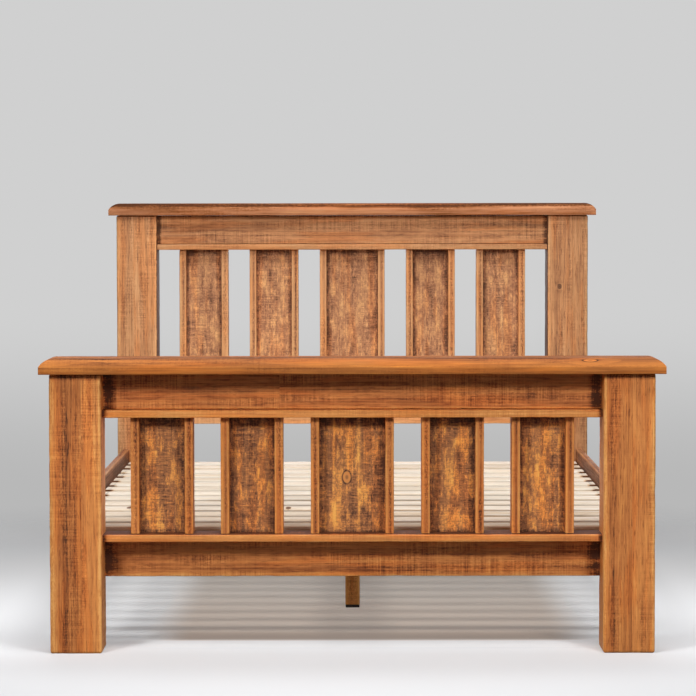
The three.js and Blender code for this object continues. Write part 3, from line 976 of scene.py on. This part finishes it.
# Turned profiles: (radius, height) from the top's middle outward and down
SCREW_PROFILE = [
    (0.0, 0.0), (1.3 * MM, -0.9 * MM), (2.0 * MM, 0.1 * MM),  # the driver's recess
    (3.6 * MM, 0.35 * MM), (4.0 * MM, 0.1 * MM), (2.0 * MM, -2.6 * MM),  # rim and cone
]
BOLT_PROFILE = [
    (0.0, 6.0 * MM), (5.4 * MM, 6.0 * MM), (6.6 * MM, 5.2 * MM),  # the domed head
    (6.9 * MM, 1.9 * MM), (11.0 * MM, 1.9 * MM),  # its foot, on the washer
    (11.5 * MM, 1.5 * MM), (11.5 * MM, 0.3 * MM), (11.0 * MM, 0.0),
]
BOLT_SEAT = 5.5 * MM  # from the CAD bolt's head end to the bracket's face
SHANK_RADIUS = 4.0 * MM
SHANK_TIP_RADIUS = 2.6 * MM
SCREW_INSET = 16 * MM  # from a slat's end
SCREW_SPREAD = 22 * MM  # either side of a slat's middle line
SCREW_SINK = 0.3 * MM
SLATS = 14


def turned_mesh(name, profile, segments, places=(Vector(),), turn=Matrix.Identity(3), closed=True):
    """Copies of one turned profile in one mesh, each with a flat bottom if it is closed."""
    vertices, faces = [], []
    for place in places:
        tip, ring = len(vertices), len(vertices) + 1
        vertices.append(place + turn @ Vector((0, 0, profile[0][1])))
        for radius, height in profile[1:]:
            for k in range(segments):
                angle = FULL_TURN * k / segments
                spot = Vector((radius * math.cos(angle), radius * math.sin(angle), height))
                vertices.append(place + turn @ spot)
        for k in range(segments):
            after = (k + 1) % segments
            faces.append((tip, ring + k, ring + after))
            for j in range(len(profile) - 2):
                a = ring + j * segments
                b = a + segments
                faces.append((a + k, b + k, b + after, a + after))
        last = ring + (len(profile) - 2) * segments
        if closed:
            faces.append(tuple(last + k for k in range(segments))[::-1])
    return smooth_mesh(name, [tuple(v) for v in vertices], faces, sharp_from=35)


def turned_steel(name, places, profile, turn, segments):
    mesh = turned_mesh(name, profile, segments, places, turn)
    return finish_piece(name, mesh, STEEL, "dark_steel")


def slat_screws():
    """Countersunk screws: two at each end of each slat, and one over the centre beam."""
    groups = {"left": [], "right": [], "centre": []}
    for i in range(SLATS):
        low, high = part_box(f"slat_{i + 1:02d}")
        y = (low.y + high.y) / 2
        z = high.z - SCREW_SINK
        for side, x in (("left", low.x + SCREW_INSET), ("right", high.x - SCREW_INSET)):
            groups[side] += [Vector((x, y + d, z)) for d in (-SCREW_SPREAD, SCREW_SPREAD)]
        groups["centre"].append(Vector(((low.x + high.x) / 2, y, z)))
    for side, places in groups.items():
        turned_steel(f"slat_screws_{side}", places, SCREW_PROFILE, Matrix.Identity(3), 16)


def corner_bolt(node):
    """A bolt head with its washer, on the bracket's post leg, and its shank."""
    low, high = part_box(node)
    into = -1 if low.y < 0 else 1
    seat = (high.y - BOLT_SEAT) if into < 0 else (low.y + BOLT_SEAT)
    place = Vector(((low.x + high.x) / 2, seat, (low.z + high.z) / 2))
    turn = Matrix.Rotation(math.pi / 2 * into, 3, "X")
    length = high.y - low.y - BOLT_SEAT
    shank = [(SHANK_RADIUS, 0.0), (SHANK_RADIUS, -length + 2 * MM), (SHANK_TIP_RADIUS, -length)]
    piece = turned_steel(f"{node}_metal", [place], BOLT_PROFILE + shank, turn, 24)
    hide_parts(node)


def steel_node(node):
    """A CAD plate that stays, with eased edges and the steel finish."""
    obj = frame["nodes"][node]
    obj.data.materials.clear()
    obj.data.materials.append(STEEL)
    bevel = obj.modifiers.new("ease", "BEVEL")
    bevel.width = 0.5 * MM
    bevel.segments = 2
    bevel.limit_method = "ANGLE"
    bevel.angle_limit = math.radians(40)


# ---- assembly

FOOT_RAIL_JOINT = -0.198
FOOT_RAIL_TONES = (0.9,) * (1 + JOINED_STAVE) + (0.3,)  # before the joint, and beyond it
STRIP = {"rounding": 0.0, "chip": 1.1 * MM}
FOOT_TONES = (0.1, 0.4, 0.1, 0.2, -0.5)
HEAD_TONES = (0.3, 0.2, 0.5, 0.8, 0.3)
FOOT_PANEL_MARKS = {3: {
    "bands": ((-0.050, 0.007, -0.75), (0.018, 0.007, -0.9), (-0.012, 0.006, -0.3)),
    "knots": ((-0.008, -0.015, 0.018, 0.012),),
}}
SLAT_TONES = (1.1, 0.7, 1.5, 0.9, 1.3)
SLAT_SHADE = (1.6, 1.2, 0.9, 0.4)  # painted shade on the slats nearest to the footboard, where its shadow falls
SLAT_KNOTS = {
    4: ((-0.652, 0.006, 0.0075, 0.028), (-0.187, -0.008, 0.0075, 0.030)),
    10: ((0.31, 0.01, 0.010, 0.014),),
}


def footboard_and_headboard():
    post(
        "foot", "left", "post", seam=0.015, tone=(0.9, -0.6), inner=-0.2,
        bands=((-0.058, 0.010, -0.5), (-0.028, 0.018, 0.25)),
    )
    post(
        "foot", "right", "post", seam=0.006, tone=(0.4, -0.4), inner=-0.5,
        bands=((-0.045, 0.014, 0.25), (-0.02, 0.01, -0.25)),
    )
    post("head", "left", "head_post", seam=-0.012, tone=(0.9, 0.5), inner=2.4)
    post(
        "head", "right", "head_post", seam=0.012, tone=(1.0, 1.6), inner=2.4,
        knots=((0.34, -0.028, 0.008, 0.006),),
    )
    # The caps' upright, shoulder and crown amounts are painted shade, or painted light where
    # negative.
    plain(
        "foot_cap", "x", "cap", kind=Cap, tone=(0.4,), knots=((0.637, -0.078, 0.020, 0.006),),
        upright=-0.14, shoulder_tone=-0.1, crown=0.3, crown_from=18 * MM,
    )
    plain(
        "head_cap", "x", "head_cap", kind=Cap, tone=(0.0,),
        upright=-0.14, shoulder_tone=0.12, crown=0.85, crown_from=9 * MM,
    )
    rail("foot_top_rail", "rail", joins=(FOOT_RAIL_JOINT,), tone=FOOT_RAIL_TONES)
    rail("foot_bottom_rail", "rail", tone=(0.1,))
    rail("head_top_rail", "head_rail", tone=(0.6,), nooks=head_rail_nooks())
    rail("head_lower_rail", "head_rail")
    rail("head_cross_rail", "head_rail")
    # The strips' tops get painted shade, darkest at the back, and the ledge's top gets the most.
    for node, tone, top_stain in (("foot_upper_strip", -1.0, 0.1), ("foot_ledge", 0.0, 1.6)):
        plain(
            node, "x", "strip", tone=(tone,), dark_top=(20 * MM, top_stain),
            nooks=end_nooks(node, STRIP_NOOK), **STRIP,
        )
    for node in ("head_upper_strip", "head_ledge"):
        plain(node, "x", "head", tone=(1.6,), **STRIP)


def panels():
    for i, (foot_tone, head_tone) in enumerate(zip(FOOT_TONES, HEAD_TONES), 1):
        panel(f"foot_panel_{i}", "board", tone=(foot_tone,), **FOOT_PANEL_MARKS.get(i, {}))
        panel(f"head_panel_{i}", "head_board", tone=(head_tone,))


def sides_and_base():
    # The cleats' high tones are painted shade: the dark under the slats' ends and behind the foot
    # ledge.
    cleat = {"radius": 2 * MM, "along_pitch": 60 * MM, "chip": 0.5 * MM}
    for hand in ("left", "right"):
        plain(f"side_rail_{hand}", "y", "side", rounding=0.0, along_pitch=30 * MM, tone=(1.4,))
        plain(f"side_cleat_{hand}", "y", "side", tone=(3.5,), **cleat)
    for end in ("foot", "head"):
        plain(f"{end}_end_cleat", "x", "side", along_pitch=40 * MM, tone=(3.8,))
        # The leg's low tone is painted light, lifting it in the shade under the bed.
        plain(f"centre_leg_{end}", "z", "stained", tone=(-2.6,))
        steel_node(f"{end}_beam_hanger")
        for hand in ("left", "right"):
            steel_node(f"{end}_bracket_{hand}")
            corner_bolt(f"{end}_bolt_{hand}")


def slats():
    for i in range(SLATS):
        shade = SLAT_SHADE[i] if i < len(SLAT_SHADE) else 0.0
        plain(
            f"slat_{i + 1:02d}", "x", "slat", radius=5 * MM, along_pitch=45 * MM, chip=0.5 * MM,
            rounding=1.5 * MM, stained_ends=(29 * MM, 1.8), knots=SLAT_KNOTS.get(i + 1, ()),
            tone=(SLAT_TONES[i % len(SLAT_TONES)] + shade,),
        )
    plain("centre_beam", "y", "slat", radius=2 * MM, along_pitch=60 * MM, chip=0.5 * MM)


def leg_pad(node):
    """A soft pad, a little bulged between the leg and the floor."""
    piece = part_of(
        node, "rubber", *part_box(node), "z", "board", rounding=1.2 * MM, pitch=10 * MM,
        along_pitch=3 * MM, chip=0.2 * MM,
    )
    piece.data.materials[0] = PAD


footboard_and_headboard()
panels()
sides_and_base()
slats()
slat_screws()
leg_pad("centre_leg_pad_foot")
leg_pad("centre_leg_pad_head")

# ---- studio

FLOOR_RADIUS = 16.0
FLOOR_RINGS = 40
FLOOR_MIDDLE_X = 0.05
# The floor's pale tones, zone by zone, are painted light: they shape how bright it looks in front,
# in the middle and behind.
FLOOR_FRONT = (0.62, 0.625, 0.635, 1.0)
FLOOR_MIDDLE = (0.75, 0.755, 0.765, 1.0)
FLOOR_BACK = (0.50, 0.50, 0.50, 1.0)
FLOOR_BESIDE = (1.15, 1.15, 1.15, 1.0)  # painted light from both sides, below the rails
# painted light on a lip just behind the foot rail
FLOOR_LIP = (1.36, 1.36, 1.36, 1.0)
FLOOR_UNDER_FRONT = (0.43, 0.31, 0.23, 1.0)  # painted shadow under the bed, darkest behind the foot rail, and warmed as by light off the bed
# the painted shadow further back under the bed
FLOOR_UNDER_MIDDLE = (0.86, 0.70, 0.57, 1.0)
FLOOR_UNDER = (0.96, 0.84, 0.73, 1.0)
FLOOR_BOUNCE = (0.18, 0.18, 0.18, 1.0)  # what the bed gets back from it
# painted light: a glow that only the camera sees, stronger beside the bed
FLOOR_GLOW = 0.11
FLOOR_SIDE_GLOW = 0.14
FLOOR_CLEARS = (1.6, 3.0)  # the distances over which the floor gives way to the background
BACKGROUND_LOW = srgb(184, 184, 184)
BACKGROUND_HIGH = srgb(208, 208, 208)
SKY_TINT = (0.94, 0.98, 1.08, 1.0)


def floor_tone(g, across, back, beside):
    """Painted light and shadow: soft lit zones before, beside and behind the bed, a painted shadow
    under it, and a lighter lip by its foot rail.
    """
    pale = g.mix(g.span(back, -1.5, -0.9), FLOOR_FRONT, FLOOR_MIDDLE)
    pale = g.mix(g.span(back, -0.5, 0.9), pale, FLOOR_BACK)
    pale = g.tinted(beside, pale, FLOOR_BESIDE)
    lip = g.times(g.span(back, -1.07, -1.01), g.span(back, -0.90, -0.97))
    lip = g.times(lip, g.span(across, 0.68, 0.56))
    pale = g.tinted(lip, pale, FLOOR_LIP)
    under = g.times(g.span(across, 0.66, 0.50), g.span(back, 1.3, 0.9))
    under = g.times(under, g.span(back, -0.97, -0.90))
    shade = g.mix(g.span(back, -0.82, -0.72), FLOOR_UNDER_FRONT, FLOOR_UNDER_MIDDLE)
    shade = g.mix(g.span(back, -0.5, 0.2), shade, FLOOR_UNDER)
    return g.tinted(under, pale, shade)


def floor_material():
    """Matt floor with painted light and shade, that glows a little for the camera as painted light,
    and clears into the background far away.
    """
    material, g = new_material("studio_floor")
    place = g.object_place()
    back = g.part(place, "Y")
    across = g.math("ABSOLUTE", g.math("SUBTRACT", g.part(place, "X"), FLOOR_MIDDLE_X))
    beside = g.times(g.span(across, 0.95, 0.78), g.span(g.math("ABSOLUTE", back), 1.2, 1.05))
    path = g.node("LightPath")
    tone = floor_tone(g, across, back, beside)
    colour = g.mix(path.outputs["Is Diffuse Ray"], tone, FLOOR_BOUNCE)
    diffuse = g.node("BsdfDiffuse", {"Color": colour})
    side = g.times(beside, g.times(g.span(across, 0.50, 0.62), g.span(back, -0.9, 0.1)))
    glow = g.times(path.outputs["Is Camera Ray"], g.added(side, FLOOR_SIDE_GLOW, FLOOR_GLOW))
    emission = g.node("Emission", {"Strength": glow})
    lit = g.node("AddShader", {0: diffuse.outputs[0], 1: emission.outputs[0]})
    clear = g.node("BsdfTransparent")
    g.finish(g.blend(g.span(g.length(place), *FLOOR_CLEARS), lit, clear))
    return material


def studio_floor():
    radii = [FLOOR_RADIUS * (j / FLOOR_RINGS) ** 1.5 for j in range(FLOOR_RINGS + 1)]
    mesh = turned_mesh("studio_floor", [(r, 0.0) for r in radii], 96, closed=False)
    mesh.materials.append(floor_material())
    add_object("studio_floor", mesh)


def studio_background():
    """A grey backdrop, lighter higher up. It lights the bed softly, and more from behind."""
    world = bpy.data.worlds.new("studio")
    bpy.context.scene.world = world
    world.use_nodes = True
    g = Graph(world.node_tree)
    direction = g.node("TexCoord").outputs["Generated"]
    rise = g.span(g.part(direction, "Z"), -0.10, -0.035)
    shown = g.node("Background", {"Color": g.mix(rise, BACKGROUND_LOW, BACKGROUND_HIGH)})
    strength = g.span(g.part(direction, "Y"), 0.0, 0.6, 0.05, 0.42)
    light = g.node("Background", {"Color": SKY_TINT, "Strength": strength})
    path = g.node("LightPath")
    g.finish(g.blend(path.outputs["Is Camera Ray"], light, shown), "OutputWorld")


def softbox(name, place, target, size, power):
    """A rectangular light at a place, aimed at a target."""
    data = bpy.data.lights.new(name, "AREA")
    data.shape = "RECTANGLE"
    data.size, data.size_y = size
    data.energy = power
    light = add_object(name, data)
    light.visible_camera = False
    light.location = place
    light.rotation_euler = (Vector(target) - Vector(place)).to_track_quat("-Z", "Y").to_euler()
    return light


def only_on_bed(light):
    """The light shines on every mesh but the floor."""
    bed = bpy.data.collections.new("bed")
    for piece in bpy.context.scene.objects:
        if piece.type == "MESH" and piece.name != "studio_floor":
            bed.objects.link(piece)
    light.light_linking.receiver_collection = bed


studio_floor()
studio_background()
softbox("key_left", (-2.2, -4.0, 2.18), (0.0, -0.9, 0.5), (0.65, 0.65), 66.0)
softbox("key_right", (1.9, -4.0, 2.18), (0.0, -0.9, 0.5), (0.65, 0.65), 50.0)
softbox("top_front", (0.0, -1.9, 3.4), (0.0, -0.3, 0.0), (2.6, 1.3), 68.0)
softbox("front_fill", (0.0, -6.4, 1.3), (0.0, 0.0, 0.5), (1.2, 0.5), 13.0)
softbox("overhead", (0.0, 0.5, 3.6), (0.0, 0.3, 0.0), (2.6, 2.0), 68.0)
only_on_bed(softbox("back_fill", (0.0, 4.6, 1.5), (0.0, 1.1, 0.6), (2.6, 1.2), 38.0))
bpy.context.scene.view_settings.view_transform = "Standard"
